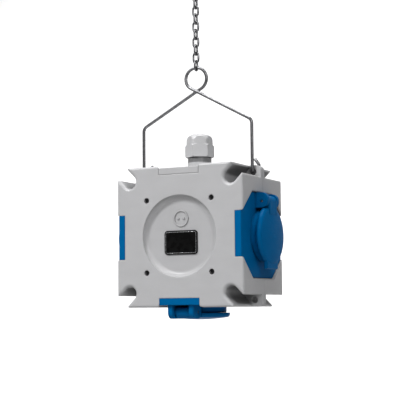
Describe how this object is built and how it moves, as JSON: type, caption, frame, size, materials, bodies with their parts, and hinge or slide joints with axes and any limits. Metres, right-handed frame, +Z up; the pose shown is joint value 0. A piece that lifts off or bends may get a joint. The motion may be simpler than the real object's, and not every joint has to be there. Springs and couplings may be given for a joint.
{
  "type": "portable power distribution box",
  "caption": "Hanging cube-shaped power distribution box: grey case with spring-lidded sockets on its sides and base, a cable gland on top, and a wire bail on a chain and hook.",
  "frame": {"origin": "the point inside the top hook where it bears on what it hangs from", "axes": "+Z up along the chain, +X to the right seen from the front, +Y to the rear; the front face, with the name plate, faces -Y"},
  "size_m": [0.1528, 0.087, 0.347],
  "materials": {
    "case_grey": "satin moulded",
    "socket_blue": "satin moulded",
    "socket_black": "satin",
    "gland_grey": "satin moulded",
    "badge_black": "gloss",
    "white_plastic": "matte",
    "wire_brown": "satin",
    "wire_blue": "satin",
    "wire_green": "satin",
    "black_rubber": "matte",
    "steel_wire": "bright zinc plated",
    "zinc": "bright zinc plated",
    "brass": "nickelled brass"
  },
  "bodies": {
    "hook": {"hook": "steel_wire"},
    "link_01": {"link_01": "steel_wire"},
    "link_02": {"link_02": "steel_wire"},
    "link_03": {"link_03": "steel_wire"},
    "link_04": {"link_04": "steel_wire"},
    "link_05": {"link_05": "steel_wire"},
    "link_06": {"link_06": "steel_wire"},
    "link_07": {"link_07": "steel_wire"},
    "link_08": {"link_08": "steel_wire"},
    "link_09": {"link_09": "steel_wire"},
    "link_10": {"link_10": "steel_wire"},
    "link_11": {"link_11": "steel_wire"},
    "bail": {"bail": "steel_wire"},
    "case": {"badge": "badge_black", "blank_plate": "case_grey", "bottom_back_cover": "socket_black", "bottom_centre_screw": "zinc", "bottom_contacts": "brass", "bottom_earth_clip": "zinc", "bottom_hinge_pin": "steel_wire", "bottom_housing": "socket_blue", "bottom_insert": "socket_black", "bottom_lid_spring": "steel_wire", "case_screws": "zinc", "earth_wires": "wire_green", "front_shell": "case_grey", "gland_body": "gland_grey", "gland_lock_nut": "gland_grey", "gland_o_ring": "black_rubber", "gland_seal": "black_rubber", "left_back_cover": "socket_black", "left_centre_screw": "zinc", "left_contacts": "brass", "left_earth_clip": "zinc", "left_hinge_pin": "steel_wire", "left_housing": "socket_blue", "left_insert": "socket_black", "left_lid_spring": "steel_wire", "live_wires": "wire_brown", "neutral_wires": "wire_blue", "rear_shell": "case_grey", "right_back_cover": "socket_black", "right_centre_screw": "zinc", "right_contacts": "brass", "right_earth_clip": "zinc", "right_hinge_pin": "steel_wire", "right_housing": "socket_blue", "right_insert": "socket_black", "right_lid_spring": "steel_wire", "shell_gasket": "black_rubber", "terminal_block": "white_plastic", "terminal_screws": "brass"},
    "right_lid": {"right_lid": "socket_blue", "right_lid_seal": "black_rubber"},
    "left_lid": {"left_lid": "socket_blue", "left_lid_seal": "black_rubber"},
    "bottom_lid": {"bottom_lid": "socket_blue", "bottom_lid_seal": "black_rubber"},
    "gland_nut": {"gland_nut": "gland_grey"}
  },
  "joints": [
    {"name": "link_01_swing", "type": "hinge", "parent": "hook", "child": "link_01", "pos_m": [0, 0, -0.0265], "axis": [1, 0, 0], "range_deg": [-40, 40]},
    {"name": "link_02_swing", "type": "hinge", "parent": "link_01", "child": "link_02", "pos_m": [0, 0, -0.03325], "axis": [0, 1, 0], "range_deg": [-40, 40]},
    {"name": "link_03_swing", "type": "hinge", "parent": "link_02", "child": "link_03", "pos_m": [0, 0, -0.04075], "axis": [-1, 0, 0], "range_deg": [-40, 40]},
    {"name": "link_04_swing", "type": "hinge", "parent": "link_03", "child": "link_04", "pos_m": [0, 0, -0.04825], "axis": [0, -1, 0], "range_deg": [-40, 40]},
    {"name": "link_05_swing", "type": "hinge", "parent": "link_04", "child": "link_05", "pos_m": [0, 0, -0.05575], "axis": [1, 0, 0], "range_deg": [-40, 40]},
    {"name": "link_06_swing", "type": "hinge", "parent": "link_05", "child": "link_06", "pos_m": [0, 0, -0.06325], "axis": [0, 1, 0], "range_deg": [-40, 40]},
    {"name": "link_07_swing", "type": "hinge", "parent": "link_06", "child": "link_07", "pos_m": [0, 0, -0.07075], "axis": [-1, 0, 0], "range_deg": [-40, 40]},
    {"name": "link_08_swing", "type": "hinge", "parent": "link_07", "child": "link_08", "pos_m": [0, 0, -0.07825], "axis": [0, -1, 0], "range_deg": [-40, 40]},
    {"name": "link_09_swing", "type": "hinge", "parent": "link_08", "child": "link_09", "pos_m": [0, 0, -0.08575], "axis": [1, 0, 0], "range_deg": [-40, 40]},
    {"name": "link_10_swing", "type": "hinge", "parent": "link_09", "child": "link_10", "pos_m": [0, 0, -0.09325], "axis": [0, 1, 0], "range_deg": [-40, 40]},
    {"name": "link_11_swing", "type": "hinge", "parent": "link_10", "child": "link_11", "pos_m": [0, 0, -0.10075], "axis": [-1, 0, 0], "range_deg": [-40, 40]},
    {"name": "bail_swing", "type": "hinge", "parent": "link_11", "child": "bail", "pos_m": [0, 0, -0.10825], "axis": [0, -1, 0], "range_deg": [-40, 40]},
    {"name": "case_tilt", "type": "hinge", "parent": "bail", "child": "case", "pos_m": [0, 0.006, -0.20775], "axis": [1, 0, 0], "range_deg": [-4, 4]},
    {"name": "right_lid_hinge", "type": "hinge", "parent": "case", "child": "right_lid", "pos_m": [0.0694, 0.006, -0.23695], "axis": [0, -1, 0], "range_deg": [0, 95], "stiffness_Nm_per_rad": 0.012, "springref_deg": -95.11},
    {"name": "left_lid_hinge", "type": "hinge", "parent": "case", "child": "left_lid", "pos_m": [-0.0694, 0.006, -0.23695], "axis": [0, 1, 0], "range_deg": [0, 95], "stiffness_Nm_per_rad": 0.012, "springref_deg": -95.11},
    {"name": "bottom_lid_hinge", "type": "hinge", "parent": "case", "child": "bottom_lid", "pos_m": [0, -0.0246, -0.33695], "axis": [-1, 0, 0], "range_deg": [0, 95], "stiffness_Nm_per_rad": 0.012, "springref_deg": -95.11},
    {"name": "gland_nut_turn", "type": "hinge", "parent": "case", "child": "gland_nut", "pos_m": [0, 0.006, -0.1825], "axis": [0, 0, 1], "range_deg": [0, 360]}
  ]
}
